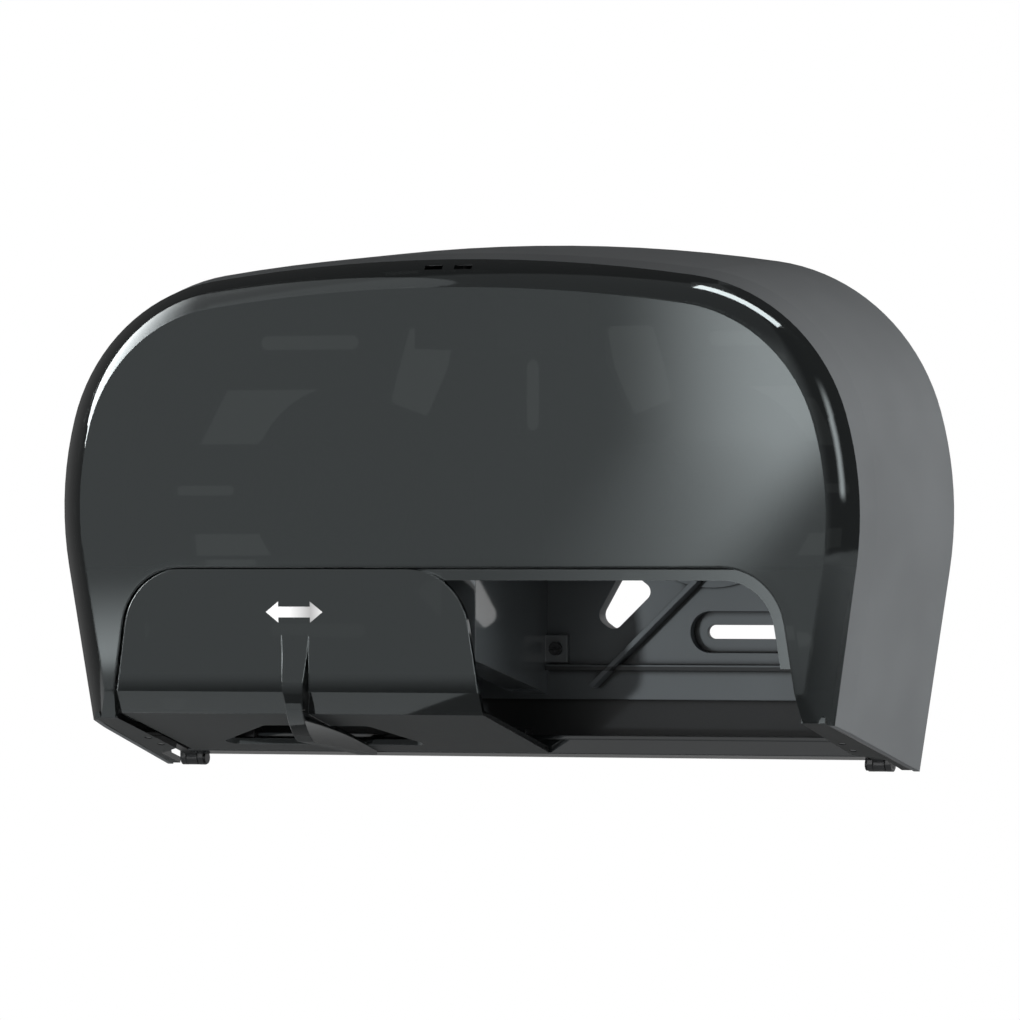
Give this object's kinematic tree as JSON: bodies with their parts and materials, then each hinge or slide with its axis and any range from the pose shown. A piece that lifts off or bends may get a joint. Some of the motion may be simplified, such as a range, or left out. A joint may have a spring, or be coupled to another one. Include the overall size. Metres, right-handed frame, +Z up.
{
  "type": "bath tissue dispenser",
  "caption": "Wall-hung bath tissue dispenser: rolls side by side on hubs behind a lockable smoked cover hinged at its foot, with a sliding door that covers one roll or the other.",
  "frame": {"origin": "on the wall plane, at the centre of the four mounting slots and level with the roll spindles", "axes": "+X to the right of someone who faces the dispenser, +Y into the wall, +Z up"},
  "size_m": [0.4492, 0.1258, 0.2659],
  "materials": {
    "plate": "fine-grained moulded grey",
    "frame": "fine-grained moulded grey",
    "smoked": "polished smoked clear plastic",
    "fitting": "moulded black",
    "hub": "moulded dark grey",
    "brake": "soft friction pad",
    "steel": "zinc plated"
  },
  "bodies": {
    "wall_side": {"back_plate": "plate", "centre_divider": "fitting", "divider_screws": "steel", "lock_housing": "fitting", "lock_screws": "steel", "latch_spring": "steel", "left_spindle": "fitting", "right_spindle": "fitting", "spindle_screws": "steel", "left_brake": "brake", "right_brake": "brake", "left_hub_cap": "hub", "right_hub_cap": "hub", "left_hinge_bracket": "fitting", "right_hinge_bracket": "fitting", "bracket_screws": "steel", "left_hinge_pin": "steel", "right_hinge_pin": "steel"},
    "left_roll_hub": {"left_hub": "hub"},
    "right_roll_hub": {"right_hub": "hub"},
    "latch": {"lock_latch": "fitting"},
    "cover": {"cover_frame": "frame", "cover_window": "smoked", "lower_rail": "fitting", "lock_catch": "fitting", "left_hinge_arm": "fitting", "right_hinge_arm": "fitting", "arm_screws": "steel"},
    "sliding_door": {"door": "smoked", "left_upper_glide": "fitting", "right_upper_glide": "fitting", "left_lower_glide": "fitting", "right_lower_glide": "fitting"}
  },
  "joints": [
    {"name": "cover_hinge", "type": "hinge", "parent": "wall_side", "child": "cover", "pos_m": [0, -0.008, -0.1392], "axis": [1, 0, 0], "range_deg": [0, 90]},
    {"name": "door_slide", "type": "slide", "parent": "cover", "child": "sliding_door", "axis": [1, 0, 0], "range_m": [0, 0.1654]},
    {"name": "left_hub_spin", "type": "hinge", "parent": "wall_side", "child": "left_roll_hub", "pos_m": [-0.0987, 0, 0], "axis": [0, 1, 0], "continuous": true},
    {"name": "right_hub_spin", "type": "hinge", "parent": "wall_side", "child": "right_roll_hub", "pos_m": [0.0987, 0, 0], "axis": [0, 1, 0], "continuous": true},
    {"name": "latch_slide", "type": "slide", "parent": "wall_side", "child": "latch", "axis": [0, 0, 1], "range_m": [0, 0.0105], "deforming": ["latch_spring"]}
  ]
}
